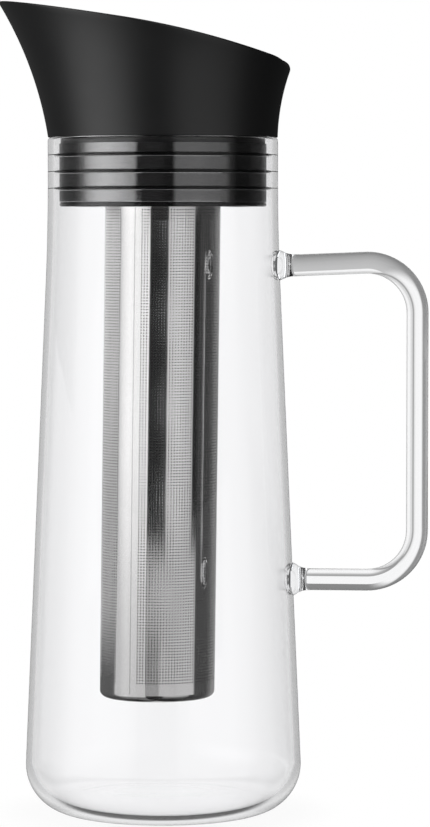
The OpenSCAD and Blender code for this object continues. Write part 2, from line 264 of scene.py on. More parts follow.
# Finishes: span of a noise pattern, edge of the seal's gloss beyond the plug, softness of a hole's edge,
# depth of the sheet's bright skin in shares of the sheet, openness of the sheet's back, and share of the
# steel's colour that the back keeps under painted shade, which darkens the inside of the tube
NOISE_SPAN = (0.3, 0.7)
GLOSS_EDGE = (0.05 * MM, 0.3 * MM)
HOLE_SOFTNESS = 0.15
SKIN_DEPTH = (0.8, 0.2)
BACK_OPEN = 0.6
BACK_SHADE_SHARE = 0.12

# Brightness of the studio by direction in degrees from the camera's side, as a share of the main light
STUDIO = (
    (-180, 0.05), (-104, 0.05), (-97, 0.15), (-92, 0.45), (-84, 0.76),
    (-75, 0.92), (-67, 1.00), (-59, 0.95), (-52, 0.85), (-44, 0.73), (-37, 0.58), (-31, 0.48), (-27, 0.03),
    (10, 0.03), (14, 0.38), (36, 0.42), (52, 0.36), (72, 0.30), (79, 0.02), (180, 0.02),
)

# Limits of the counts that tell kinds of rays apart: met nothing, one wall, two walls, caught in the glass
NONE_YET = 0.5
ONE_WALL = 2.5
TWO_WALLS = 4.5
CAUGHT = 2.5

# Edges of the studio's other parts in degrees, up from level or round from the camera's side; a third
# number is the softness of both edges
UPRIGHT = (-50, 52, 14)
OVERHEAD = (50, 75)
FORWARD = (115, 140)
AHEAD = (158, 172)
BELOW = (-41, -29)
ABOVE = (36, 58, 4)
ROD_DARK = (-17.5, -15.5)
ROD_FADE = (-36, -20)
ROD_BACK = (150, 162)
ROD_STRIPES = ((-166, -118, 3), (159, 164, 3))
FILTER_TOP = (0.2, 0.27)
FILTER_CUT = (63.5, 70)
DIM_RISE = (-7.5, -3)
RIGHT_LIGHT = (0, 110, 5)
NEAR_WHITE = (-62, -23.5, 1.5)
LEFT_WHITE = (-96, -84)
LEFT_LOW = (-6, 0)
LEFT_FOOT = (-7.3, -5.9)
RIGHT_GLOW = (74, 84)
BACK_GLOW = (110, 145)
TABLE_RISE = (-10, -5.1, 0.3)
TABLE_SPAN = (-95, 78, 4)
SMEAR_RISE = (-10, -6.45, 0.25)
SMEAR_SPAN = (-30, 3, 3)
LEVEL = (-25, 25, 10)

# Shares of brightness or darkening in those parts
DIM_LOW = 0.56
DIM_HIGH = 0.97
FILTER_DIM = 0.13
FILTER_GAIN = 1.62
SEAL_GAIN = 0.5
NEAR_FILL = 1.85
LOW_FILL = 0.62
FOOT_FILL = 0.1
RIGHT_FILL = 0.06
BACK_FILL = 0.25
SMEAR_DEPTH = 0.4
FAR_ROOM = 0.25
DEEP_SHARE = 0.25
ROD_FLAG = 0.1
ROD_ABOVE = 0.75

# Flags beside the backdrop: spacing round the carafe, and edge of their shade
FLAG_SPACING = math.pi / 8
FLAG_EDGE = (0.12, 0.33)

# Floor and camera: where the floor starts to fade, how clear it is, its gap, and the end of the view
FLOOR_SIDES = 96
FLOOR_FADE = 0.9
FLOOR_CLEAR = 0.95
FLOOR_UNDER_GLASS = 0.96
FLOOR_GAP = 0.3 * MM
VIEW_END = 20

# Cards behind the handle in metres: lower edge, upper edge, right edge and distance behind the axis
CARDS = {
    "low_card": (0.0865, 0.125, 0.078, 0.02),
    "high_card": (0.163, 0.204, 0.0875, 0.02),
    "clear_card": (0.055, 0.23, 0.118, 0.015),
}
CARD_LEFT = 0.0405
# Brightness in a grey card's middle and at its inner edge, and the shares of the card where it changes
CARD_MIDDLE = 0.26
CARD_INNER = 0.37
CARD_UPPER = (0.0, 0.45)
CARD_LOWER = (-0.5, 0.0)
CARD_END = (0.35, 0.5)

GROUPS = {
    "carafe_jug": JugSizes,
    "carafe_handle": HandleSizes,
    "carafe_lid": LidSizes,
    "carafe_filter": FilterSizes,
    "carafe_finish": Finishes,
    "carafe_stage": StageSettings,
}


# Modelling helpers

def select_only(piece):
    """Leaves object mode with one piece selected and active."""
    if bpy.context.mode != "OBJECT":
        bpy.ops.object.mode_set(mode="OBJECT")
    bpy.ops.object.select_all(action="DESELECT")
    if piece:
        piece.select_set(True)
        bpy.context.view_layer.objects.active = piece


def start_point(name):
    """A new piece in edit mode that is one selected point at the origin."""
    select_only(None)
    bpy.ops.mesh.primitive_plane_add(size=MM, calc_uvs=False)
    piece = bpy.context.object
    piece.name = name
    piece.data.name = name
    bpy.ops.object.mode_set(mode="EDIT")
    bpy.ops.mesh.select_mode(type="VERT")
    bpy.ops.mesh.select_all(action="SELECT")
    bpy.ops.mesh.merge(type="CENTER")
    return piece


def extrude(step):
    """Extrudes what is selected by a step."""
    bpy.ops.mesh.extrude_region_move(TRANSFORM_OT_translate={"value": step})


def trace(points):
    """Moves the selected point to the first of the points and draws a line through the rest."""
    bpy.ops.transform.translate(value=points[0])
    for start, end in zip(points, points[1:]):
        extrude(end - start)


def close_up():
    """Merges doubled points, faces everything outwards and shades it smooth."""
    bpy.ops.mesh.select_all(action="SELECT")
    bpy.ops.mesh.remove_doubles(threshold=MERGE_DISTANCE)
    bpy.ops.mesh.select_all(action="SELECT")
    bpy.ops.mesh.normals_make_consistent(inside=False)
    bpy.ops.object.mode_set(mode="OBJECT")
    bpy.ops.object.shade_smooth_by_angle(angle=SMOOTH_ANGLE)


def turn(name, outline, start=0.0):
    """A turned piece: a half section of (radius, height) points spun round the axis."""
    piece = start_point(name)
    trace([Vector((r * math.cos(start), r * math.sin(start), z)) for r, z in outline])
    bpy.ops.mesh.select_all(action="SELECT")
    bpy.ops.mesh.spin(steps=TURN_STEPS, angle=FULL_TURN, center=(0, 0, 0), axis=(0, 0, 1))
    close_up()
    return piece


def plate(name, outline, lift):
    """A plate: a closed outline filled and extruded by the vector lift."""
    piece = start_point(name)
    trace(outline)
    bpy.ops.mesh.select_all(action="SELECT")
    bpy.ops.mesh.edge_face_add()
    extrude(lift)
    close_up()
    return piece


def rod(name, radius, start, run):
    """A straight round rod along Y, from its start over the length of its run."""
    outline = [
        Vector((start.x + radius * math.cos(a), start.y, start.z + radius * math.sin(a)))
        for a in (FULL_TURN * i / ROD_SIDES for i in range(ROD_SIDES))
    ]
    return plate(name, outline, Vector((0, run, 0)))


def combine(piece, tool, operation):
    """Joins a tool piece to a piece, or cuts it away, and removes the tool."""
    select_only(piece)
    bpy.ops.object.modifier_add(type="BOOLEAN")
    modifier = piece.modifiers[-1]
    modifier.operation = operation
    modifier.solver = "EXACT"
    modifier.object = tool
    bpy.ops.object.modifier_apply(modifier=modifier.name)
    bpy.data.objects.remove(tool)


def bevel_edges(piece, width):
    """Rounds the sharp edges of a piece."""
    select_only(piece)
    bpy.ops.object.modifier_add(type="BEVEL")
    modifier = piece.modifiers[-1]
    modifier.width = width
    modifier.segments = CORNER_STEPS
    modifier.limit_method = "ANGLE"
    modifier.angle_limit = BEVEL_ANGLE
    modifier.use_clamp_overlap = True
    bpy.ops.object.modifier_apply(modifier=modifier.name)


def pick_faces(piece, wanted):
    """Goes to edit mode with only the wanted faces selected."""
    select_only(piece)
    bpy.ops.object.mode_set(mode="EDIT")
    bpy.ops.mesh.select_mode(type="FACE")
    bpy.ops.mesh.select_all(action="DESELECT")
    bpy.ops.object.mode_set(mode="OBJECT")
    for face in piece.data.polygons:
        face.select = wanted(face)
    bpy.ops.object.mode_set(mode="EDIT")


def arc(centre, radius, start, end, steps=ARC_STEPS):
    """Points of an arc in the half section, from one angle to another."""
    angles = [start + (end - start) * i / steps for i in range(steps + 1)]
    return [(centre[0] + radius * math.cos(a), centre[1] + radius * math.sin(a)) for a in angles]


def straight(start, end):
    """Two points near the ends of a long straight, so that it shades flat."""
    line = Vector(end) - Vector(start)
    return [tuple(Vector(start) + share * line) for share in STRAIGHT_ENDS]


def soften(outline, radius):
    """The same outline with its sharp corners rounded."""
    points = [Vector(p) for p in outline]
    soft = [points[0]]
    for before, corner, after in zip(points, points[1:], points[2:]):
        back = before - corner
        ahead = after - corner
        if back.angle(-ahead) < SMOOTH_ANGLE:
            soft.append(corner)
            continue
        reach = min(radius, CORNER_SHARE * back.length, CORNER_SHARE * ahead.length)
        start = corner + back.normalized() * reach
        end = corner + ahead.normalized() * reach
        for i in range(CORNER_STEPS + 1):
            t = i / CORNER_STEPS
            soft.append(start.lerp(corner, t).lerp(corner.lerp(end, t), t))
    soft.append(points[-1])
    return [tuple(p) for p in soft]


def solve(low, high, above):
    """The value between low and high at which above turns true."""
    for _ in range(SOLVE_STEPS):
        middle = (low + high) / 2
        if above(middle):
            high = middle
        else:
            low = middle
    return (low + high) / 2


# Shader helpers

def feed(node, inputs):
    """Sets a node's inputs to numbers and colours, or links them to other nodes' outputs."""
    for key, value in inputs.items():
        if isinstance(value, Value):
            value = value.socket
        if isinstance(value, bpy.types.NodeSocket):
            node.id_data.links.new(value, node.inputs[key])
        else:
            node.inputs[key].default_value = value


def add(tree, kind, inputs=None, **settings):
    """Adds a node with its settings and its inputs."""
    made = tree.nodes.new(kind)
    for name, value in settings.items():
        setattr(made, name, value)
    feed(made, inputs or {})
    return made


class Value:
    """A number in a node tree, to reckon with by adding nodes."""

    def __init__(self, socket):
        self.socket = socket
        self.tree = socket.id_data

    def reckon(self, operation, *values):
        inputs = dict(enumerate(values))
        return Value(add(self.tree, "ShaderNodeMath", inputs, operation=operation).outputs[0])

    def __mul__(self, other):
        return self.reckon("MULTIPLY", self, other)

    def __add__(self, other):
        return self.reckon("ADD", self, other)

    def __sub__(self, other):
        return self.reckon("SUBTRACT", self, other)

    def __rsub__(self, other):
        return self.reckon("SUBTRACT", other, self)

    def __gt__(self, other):
        return self.reckon("GREATER_THAN", self, other)

    def __lt__(self, other):
        return self.reckon("LESS_THAN", self, other)

    def __abs__(self):
        return self.reckon("ABSOLUTE", self)

    def mix(self, first, second):
        """A value that goes from the first to the second with this share."""
        return Value(add(self.tree, "ShaderNodeMix", {0: self, 2: first, 3: second}).outputs[0])

    def step(self, low, high, start=0.0, end=1.0):
        """A smooth step from start to end."""
        inputs = {"Value": self, "From Min": low, "From Max": high, "To Min": start, "To Max": end}
        made = add(self.tree, "ShaderNodeMapRange", inputs, interpolation_type="SMOOTHSTEP")
        return Value(made.outputs["Result"])

    def edge(self, low, high, start=0.0, end=1.0):
        """A smooth step of a direction, with its limits in degrees."""
        return self.step(math.radians(low), math.radians(high), start, end)

    def window(self, low, high, soft):
        """One between two directions in degrees, and nought outside, with soft edges."""
        return self.edge(low - soft, low + soft) * self.edge(high - soft, high + soft, 1.0, 0.0)


def largest(first, *others):
    """The largest of some values."""
    for other in others:
        first = first.reckon("MAXIMUM", first, other)
    return first


def split(vector):
    """The three parts of a vector."""
    parts = add(vector.id_data, "ShaderNodeSeparateXYZ", {0: vector})
    return [Value(part) for part in parts.outputs]


def vector_of(operation, vector, *others):
    """The outputs of a Vector Math node."""
    inputs = dict(enumerate((vector, *others)))
    return add(vector.id_data, "ShaderNodeVectorMath", inputs, operation=operation).outputs


def from_axis(place):
    """A place as seen from the axis at its own height, and its distance from the axis."""
    flat = vector_of("MULTIPLY", place, (1, 1, 0))["Vector"]
    return flat, Value(vector_of("LENGTH", flat)["Value"])


def light_path(tree):
    """Kinds and counts of the ray at hand, by name."""
    return {output.name: Value(output) for output in add(tree, "ShaderNodeLightPath").outputs}


def new_material(name):
    """The main shader and the object coordinates of a new material."""
    material = bpy.data.materials.new(name)
    MATERIAL_NAMES[name] = material.name
    material.use_nodes = True
    tree = material.node_tree
    return tree.nodes["Principled BSDF"], add(tree, "ShaderNodeTexCoord").outputs["Object"]


def let_through(share, shader):
    """Gives a material a shader that lets a share of the light straight through."""
    tree = shader.id_data
    clear = add(tree, "ShaderNodeBsdfTransparent")
    blend = add(tree, "ShaderNodeMixShader", {0: share, 1: shader.outputs[0], 2: clear.outputs[0]})
    feed(tree.nodes["Material Output"], {"Surface": blend.outputs[0]})


def noise(place, scale, detail=3.0):
    """A noise pattern's value, with its scale in cells per metre."""
    inputs = {"Vector": place, "Scale": scale, "Detail": detail}
    return Value(add(place.id_data, "ShaderNodeTexNoise", inputs).outputs["Fac"])


def bump(shader, height, strength, depth):
    """Gives a shader a bump from a height pattern, with its depth in metres."""
    inputs = {"Height": height, "Strength": strength, "Distance": depth}
    made = add(shader.id_data, "ShaderNodeBump", inputs)
    feed(shader, {"Normal": made.outputs["Normal"]})


def roughen(shader, pattern, low, high):
    """Lets a shader's roughness wander between two values with a pattern."""
    feed(shader, {"Roughness": pattern.step(*NOISE_SPAN, low, high)})


def rgba(value):
    """A colour property as a shader's colour."""
    return (*value, 1.0)


def clear_glass(finish):
    """Polished clear glass, faintly wavy, that darkens a little where it is thick."""
    shader, place = new_material("clear_glass")
    tree = shader.id_data
    inputs = {
        "Base Color": rgba(finish.glass),
        "Specular Tint": rgba(finish.glass_sheen),
        "Transmission Weight": 1.0,
        "IOR": 1.46,
        "Roughness": 0.0,
    }
    feed(shader, inputs)
    bump(shader, noise(place, scale=60.0, detail=1.0), strength=0.2, depth=0.05 * MM)
    depth = {"Color": rgba(finish.glass_depth), "Density": 8.0}
    volume = add(tree, "ShaderNodeVolumeAbsorption", depth)
    feed(tree.nodes["Material Output"], {"Volume": volume.outputs[0]})
    let_through(light_path(tree)["Glossy Depth"] > CAUGHT, shader)


def soft_touch(finish):
    """Soft-touch black plastic: matt, very finely grained, with faint handling marks."""
    shader, place = new_material("soft_touch_black")
    feed(shader, {"Base Color": rgba(finish.soft_black)})
    roughen(shader, noise(place, scale=45.0), low=0.37, high=0.41)
    bump(shader, noise(place, scale=5200.0, detail=2.0), strength=0.25, depth=0.02 * MM)


def gloss_plastic(finish):
    """Gloss black moulded plastic with a faint orange peel."""
    shader, place = new_material("gloss_black_plastic")
    feed(shader, {"Base Color": rgba(finish.gloss_black)})
    roughen(shader, noise(place, scale=80.0), low=0.05, high=0.09)
    bump(shader, noise(place, scale=220.0, detail=1.0), strength=0.1, depth=0.02 * MM)


def silicone(finish):
    """Smooth black silicone with a gloss on its face and matt lips."""
    shader, place = new_material("lip_silicone")
    _, out = from_axis(place)
    face_end, lip_start = (PLUG_HIGH.x + beyond for beyond in GLOSS_EDGE)
    inputs = {
        "Base Color": rgba(finish.silicone),
        "Specular IOR Level": 0.0,
        "Coat Weight": out.step(face_end, lip_start, 1.0, 0.0),
        "Coat IOR": 2.8,
        "Coat Roughness": 0.03,
    }
    feed(shader, inputs)
    roughen(shader, noise(place, scale=120.0), low=0.08, high=0.12)
    bump(shader, noise(place, scale=160.0, detail=1.0), strength=0.1, depth=0.03 * MM)


def bright_steel(finish, name="bright_steel"):
    """Bright rolled steel sheet with fine drawing lines and a slight waver."""
    shader, place = new_material(name)
    feed(shader, {"Base Color": rgba(finish.steel), "Metallic": 1.0})
    lines = add(shader.id_data, "ShaderNodeMapping", {"Vector": place, "Scale": (1.0, 1.0, 0.02)})
    roughen(shader, noise(lines.outputs[0], scale=2600.0, detail=2.0), low=0.03, high=0.07)
    bump(shader, noise(place, scale=38.0, detail=1.0), strength=0.3, depth=0.08 * MM)
    return shader, place


def hole_pattern(place, sizes):
    """One in the filter's holes, which stand in rows beside a plain strip along the seam."""
    pitch = sizes.hole_pitch
    columns = round(FULL_TURN * sizes.radius / pitch)
    low = TUBE_LOW.z + sizes.hole_start
    rows = math.floor((PLUG_LOW.z - low) / pitch)
    inputs = {"Vector": place, "Rotation": (0, 0, math.pi - sizes.strip)}
    x, y, z = split(add(place.id_data, "ShaderNodeMapping", inputs).outputs[0])
    bearing = x.reckon("ARCTAN2", y, x)
    row = z.reckon("MULTIPLY_ADD", z, 1 / pitch, -low / pitch)
    across, along = (
        count.reckon("FRACT", count) - 0.5 for count in (bearing * (columns / FULL_TURN), row)
    )
    off = across * across + along * along
    share = sizes.hole_radius / pitch
    solid = off.reckon("SQRT", off).step(share * (1 - HOLE_SOFTNESS), share * (1 + HOLE_SOFTNESS))
    pierced = abs(bearing) < math.pi - sizes.strip_width
    return pierced * (row > 0.0) * (row < float(rows)) * (1.0 - solid)


def perforated_steel(finish, sizes):
    """The filter's sheet: bright steel with rows of fine holes and a plain strip by the seam, and a back
    that is painted dark as shade inside the tube, where the holes are partly closed.
    """
    shader, place = bright_steel(finish, "perforated_steel")
    tree = shader.id_data
    slope = math.tan(sizes.lean)
    shift = slope * PLUG_LOW.z - split(place)[2] * slope
    shift = add(tree, "ShaderNodeCombineXYZ", {"X": shift}).outputs[0]
    place = vector_of("ADD", place, shift)["Vector"]
    flat, out = from_axis(place)
    feed(tree.nodes["Bump"], {"Normal": vector_of("NORMALIZE", flat)["Vector"]})
    skin = out.step(*(sizes.radius - share * sizes.sheet for share in SKIN_DEPTH))
    opening = hole_pattern(place, sizes) * (skin * (1 - BACK_OPEN) + BACK_OPEN)
    # Painted shade: the sheet's back, inside the tube, keeps only a small share of the steel's colour
    painted_back_shade = rgba([BACK_SHADE_SHARE * value for value in finish.steel])
    tint = add(tree, "ShaderNodeMix", {0: skin, 6: painted_back_shade, 7: rgba(finish.steel)}, data_type="RGBA")
    feed(shader, {"Alpha": 1.0 - opening, "Base Color": tint.outputs[2]})


def dress(piece, name):
    """Gives a piece one material."""
    piece.data.materials.clear()
    piece.data.materials.append(bpy.data.materials[MATERIAL_NAMES[name]])


def seat(piece, material, body, slot, *nodes):
    """Finishes a piece: shades it smooth, gives it its material, ties it to its body and hides the solids
    it stands for. The slot is not used.
    """
    select_only(piece)
    bpy.ops.object.shade_smooth_by_angle(angle=SMOOTH_ANGLE)
    dress(piece, material)
    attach(piece, body)
    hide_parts(*nodes)


# Pieces

def jug_taper(s):
    """Slope of the jug's wall from upright, and the height of the middle of its ease."""
    heel = s.base_radius - s.heel_radius
    ease_z = s.height - s.neck_length - s.ease_length / 2
    run = s.neck_radius - heel
    rise = ease_z - s.heel_radius
    return math.atan2(rise, run) - math.acos(s.heel_radius / math.hypot(run, rise)), ease_z


def jug_radius(s, z):
    """Outer radius of the tapering wall at a height."""
    taper, _ = jug_taper(s)
    heel = s.base_radius - s.heel_radius
    return heel + (s.heel_radius - (z - s.heel_radius) * math.sin(taper)) / math.cos(taper)


def jug_outline(s):
    """Half section of the jug, from the middle of the foot round the rim to the middle of the floor."""
    taper, ease_z = jug_taper(s)
    heel = s.base_radius - s.heel_radius
    ease_radius = s.ease_length / 2 / math.tan(taper / 2)
    ease_centre = (s.neck_radius + ease_radius, ease_z + s.ease_length / 2)
    rim = (s.neck_radius - s.wall / 2, s.height - s.wall / 2)
    inner = s.heel_radius - s.wall
    inner_z = s.floor + inner
    inner_x = heel - (inner_z - s.heel_radius) * math.tan(taper)
    hollow = [
        (s.hollow_radius * share, s.hollow_depth * (1 + math.cos(math.pi * share)) / 2)
        for share in (i / HOLLOW_STEPS for i in range(HOLLOW_STEPS + 1))
    ]
    outer_heel = arc((heel, s.heel_radius), s.heel_radius, -QUARTER_TURN, taper, HEEL_STEPS)[1:]
    outer_ease = arc(ease_centre, ease_radius, math.pi + taper, math.pi)
    rim_arc = arc(rim, s.wall / 2, 0, math.pi)
    inner_ease = arc(ease_centre, ease_radius + s.wall, math.pi, math.pi + taper)
    inner_heel = arc((inner_x, inner_z), inner, taper, -QUARTER_TURN, HEEL_STEPS)
    return (
        hollow
        + [(heel, 0)]
        + outer_heel
        + straight(outer_heel[-1], outer_ease[0])
        + outer_ease
        + straight(outer_ease[-1], rim_arc[0])
        + rim_arc
        + straight(rim_arc[-1], inner_ease[0])
        + inner_ease
        + straight(inner_ease[-1], inner_heel[0])
        + inner_heel
        + [(0, s.floor)]
    )


def pad_stations(s, pad_height):
    """Distance from the wall, half width and half height along one fused end of the rod."""
    rod = s.rod_radius
    return [
        (away * MM, rod + (s.pad_width - rod) * share, rod + (pad_height - rod) * share)
        for away, share in PAD_BLEND
    ]


def push_along(stations, wall, z):
    """Extrudes the end of the rod along the stations of a pad, and scales it at each."""
    for before, after in zip(stations, stations[1:]):
        extrude((after[0] - before[0], 0, 0))
        scale = (1, after[1] / before[1], after[2] / before[2])
        bpy.ops.transform.resize(value=scale, center_override=(wall + after[0], 0, z))


def bend(x, z):
    """Bends the end of the rod through a quarter turn about a place."""
    bpy.ops.mesh.spin(steps=BEND_STEPS, angle=QUARTER_TURN, axis=(0, 1, 0), center=(x, 0, z))


def model_handle(s, jug):
    """The rod handle: a pad, a bar, two bends with the grip between them, and back to a pad."""
    low_wall = jug_radius(jug, s.low_z)
    pad_z = s.top_z - s.top_sag
    top_wall = jug_radius(jug, pad_z)
    low = pad_stations(s, s.low_pad_height)
    top = pad_stations(s, s.top_pad_height)
    bend_x = s.reach - s.rod_radius - s.bend_radius
    select_only(None)
    start = Vector((low_wall + low[0][0], 0, s.low_z))
    bpy.ops.mesh.primitive_circle_add(
        vertices=ROD_SIDES, radius=1, fill_type="NGON", calc_uvs=False,
        location=start, rotation=(0, QUARTER_TURN, 0),
    )
    piece = bpy.context.object
    piece.name = "glass_rod"
    bpy.ops.object.transform_apply(location=True, rotation=True, scale=True)
    bpy.ops.object.mode_set(mode="EDIT")
    bpy.ops.mesh.select_all(action="SELECT")
    bpy.ops.transform.resize(value=(1, low[0][1], low[0][2]), center_override=start)
    push_along(low, low_wall, s.low_z)
    extrude((bend_x - low_wall - low[-1][0], 0, 0))
    bend(bend_x, s.low_z + s.bend_radius)
    extrude((0, 0, s.top_z - s.low_z - 2 * s.bend_radius))
    bend(bend_x, s.top_z - s.bend_radius)
    extrude((top_wall + top[-1][0] - bend_x, 0, -s.top_sag))
    push_along(top[::-1], top_wall, pad_z)
    close_up()
    return piece


class CARAFE_OT_glass(bpy.types.Operator):
    """Model the glass jug with its rod handle fused to it"""

    bl_idname = "carafe.glass"
    bl_label = "Glass jug and handle"

    def execute(self, context):
        jug = context.scene.carafe_jug
        piece = turn("glass_jug", jug_outline(jug))
        handle = model_handle(context.scene.carafe_handle, jug)
        combine(piece, handle, "UNION")
        seat(piece, "clear_glass", "carafe", "clear_glass", "glass_body", "glass_handle")
        return {"FINISHED"}


def flare_curve(s, bearing):
    """Slope of the collar's wall at its foot, and radius of its outward curve, on a meridian."""
    share = (1 + math.cos(bearing)) / 2
    slope = s.lip_slope + (s.back_slope - s.lip_slope) * share
    return slope, 1 / ((1 - share) / s.lip_curve + share / s.back_curve)


def flare_point(s, bearing, slope, inset):
    """Point of the collar's wall on a meridian, where its curve has that slope from upright."""
    foot_slope, radius = flare_curve(s, bearing)
    reach = radius + inset
    out = s.foot_radius + radius * math.cos(foot_slope) - reach * math.cos(slope)
    up = reach * math.sin(slope) - radius * math.sin(foot_slope)
    return Vector((out * math.cos(bearing), out * math.sin(bearing), s.seat_z + up))


def rim_height(s, x):
    """Height of the top edge over the foot: straight to the lip, crowned, then rounded off."""
    slope = math.sin(s.rim_slope)
    level = math.cos(s.rim_slope)
    axis_slope = slope - s.crown_start / s.crown_radius
    crown_z = s.height + s.crown_radius * (level - math.sqrt(1 - axis_slope**2))
    if x < s.crown_start:
        return crown_z + (s.crown_start - x) * slope / level
    slope += (min(x, s.foot_radius) - s.crown_start) / s.crown_radius
    rim_z = crown_z - s.crown_radius * (level - math.sqrt(1 - slope**2))
    if x > s.foot_radius:
        end = min(1.0, slope + (x - s.foot_radius) / s.corner_radius)
        rim_z -= s.corner_radius * (math.sqrt(1 - slope**2) - math.sqrt(1 - end**2))
    return rim_z


def over_rim(s, point):
    """True above the sloping top edge."""
    return point.z - s.seat_z > rim_height(s, point.x)


def rim_drops(s):
    """Depth into the wall and drop below the top edge of the points round the rim."""
    r = s.rim_round
    angles = [QUARTER_TURN * i / RIM_STEPS for i in range(RIM_STEPS + 1)]
    outer = [(r * (1 - math.cos(a)), r * (1 - math.sin(a))) for a in angles]
    inner = [(s.wall - inset, drop) for inset, drop in reversed(outer)]
    return outer + inner


def model_flare(s, deck_top):
    """The flared wall: a plain sleeve is turned, then every point is moved out to its flared place."""
    shares = [i / FLARE_ROWS for i in range(FLARE_ROWS + 1)]
    outer = [(0.0, share) for share in shares]
    rim = [(inset, 2 - drop / RIM_ZONE) for inset, drop in rim_drops(s)]
    inner = [(s.wall, 1 - share) for share in shares]
    levels = outer + rim + inner + outer[:1]
    sleeve = [(s.foot_radius - inset, s.seat_z + level * MM) for inset, level in levels]
    piece = turn("spout_collar_wall", sleeve)
    solved = {}
    for vertex in piece.data.vertices:
        bearing = math.atan2(vertex.co.y, vertex.co.x)
        inset = s.foot_radius - math.hypot(vertex.co.x, vertex.co.y)
        level = (vertex.co.z - s.seat_z) / MM
        key = (round(bearing, 5), round(inset / MM, 4))
        if key not in solved:
            foot_slope, radius = flare_curve(s, bearing)
            start, end = (foot_slope + more for more in SLOPES_SEARCHED)
            floor = s.seat_z if inset < s.wall / 2 else deck_top - BITE
            foot = solve(start, end, lambda a: flare_point(s, bearing, a, inset).z > floor)
            top = solve(start, end, lambda a: over_rim(s, flare_point(s, bearing, a, inset)))
            solved[key] = (foot, top, RIM_ZONE / (radius + inset))
        foot, top, rim_angle = solved[key]
        if level <= 1:
            slope = foot + (top - rim_angle - foot) * level
        else:
            slope = top - rim_angle * (2 - level)
        vertex.co = flare_point(s, bearing, slope, inset)
    piece.data.update()
    return piece


def half_disc(radius, chord, z):
    """Outline of a disc on the lip's side of a chord across it."""
    reach = math.acos(chord / radius)
    angles = [reach + (FULL_TURN - 2 * reach) * i / DISC_STEPS for i in range(DISC_STEPS + 1)]
    return [Vector((radius * math.cos(a), radius * math.sin(a), z)) for a in angles]


def hinge_place():
    """Middle of the flap's hinge, from the frame's joint."""
    joint = next(j for j in frame["joints"] if j["name"] == "flap_tilt")
    return Vector(joint["pos_m"])


def pin_lug(s, side, deck_top):
    """A round-headed lug that holds one end of the hinge pin."""
    hinge = hinge_place()
    radius = PIN_HIGH.x - PIN_LOW.x
    near = side * (s.barrel_length / 2 + s.lug_gap)
    far = PIN_HIGH.y * side
    head = arc((hinge.x, hinge.z), radius, 0, math.pi)
    foot = deck_top - 0.5 * s.deck_wall
    outline = [(hinge.x + radius, foot)] + head + [(hinge.x - radius, foot)]
    points = [Vector((x, near, z)) for x, z in outline]
    return plate("lug", points, Vector((0, far - near, 0)))


class CARAFE_OT_collar(bpy.types.Operator):
    """Model the flared collar with its deck, spigot and hinge lugs"""

    bl_idname = "carafe.collar"
    bl_label = "Pouring collar"

    def execute(self, context):
        s = context.scene.carafe_lid
        deck_z = PLUG_HIGH.z
        deck_top = deck_z + s.deck_wall
        spigot_z = s.seat_z - s.spigot
        hinge = hinge_place()
        chord = hinge.x - (FLAP_HIGH.z - hinge.z) * 2
        outline = [
            (0, deck_z), (s.core_radius, deck_z), (s.core_radius, spigot_z),
            (s.spigot_radius, spigot_z), (s.spigot_radius, s.seat_z),
            (s.deck_radius, s.seat_z), (s.deck_radius, deck_top), (0, deck_top),
        ]
        piece = model_flare(s, deck_top)
        combine(piece, turn("deck", outline), "UNION")
        mouth = half_disc(s.mouth_radius, chord, deck_z - BITE)
        combine(piece, plate("mouth", mouth, Vector((0, 0, s.deck_wall + 2 * BITE))), "DIFFERENCE")
        for side in (-1, 1):
            combine(piece, pin_lug(s, side, deck_top), "UNION")
        piece.name = "pouring_collar"
        seat(piece, "soft_touch_black", "lid", "soft_black", "spout_collar")
        return {"FINISHED"}


def pour_slot(s, middle):
    """Cutter for one pouring slot in the plug's floor."""
    inside = s.socket_radius + s.socket_wall + s.slot_edge
    outside = s.core_radius - s.core_wall - s.slot_edge
    reach = math.pi / 4 - math.asin(s.slot_rib / 2 / inside)
    inner = arc((0, 0), inside, middle - reach, middle + reach)
    outer = arc((0, 0), outside, middle + reach, middle - reach)
    low = PLUG_LOW.z - BITE
    points = [Vector((x, y, low)) for x, y in inner + outer]
    return plate("slot", points, Vector((0, 0, s.core_wall + 2 * BITE)))


class CARAFE_OT_plug(bpy.types.Operator):
    """Model the plug with its bead, filter socket and pouring slots"""

    bl_idname = "carafe.plug"
    bl_label = "Plug"

    def execute(self, context):
        s = context.scene.carafe_lid
        low = PLUG_LOW.z
        floor = low + s.core_wall
        head = RING_HIGH.z + s.socket_head
        inside = s.core_radius - s.core_wall
        socket = s.socket_radius + s.socket_wall
        bead = (PLUG_HIGH.x - s.bead / 2, low + s.bead / 2)
        outline = (
            soften([(0, head), (s.socket_radius, head), (s.socket_radius, low), (bead[0], low)], EDGE_ROUND)
            + arc(bead, s.bead / 2, -QUARTER_TURN, QUARTER_TURN)[1:]
            + soften(
                [
                    (s.core_radius, low + s.bead), (s.core_radius, PLUG_HIGH.z), (inside, PLUG_HIGH.z),
                    (inside, floor), (socket, floor), (socket, head + s.socket_wall),
                    (0, head + s.socket_wall),
                ],
                EDGE_ROUND,
            )
        )
        piece = turn("lid_plug", outline)
        for i in range(4):
            combine(piece, pour_slot(s, i * QUARTER_TURN), "DIFFERENCE")
        seat(piece, "gloss_black_plastic", "lid", "gloss_black", "plug_core")
        return {"FINISHED"}


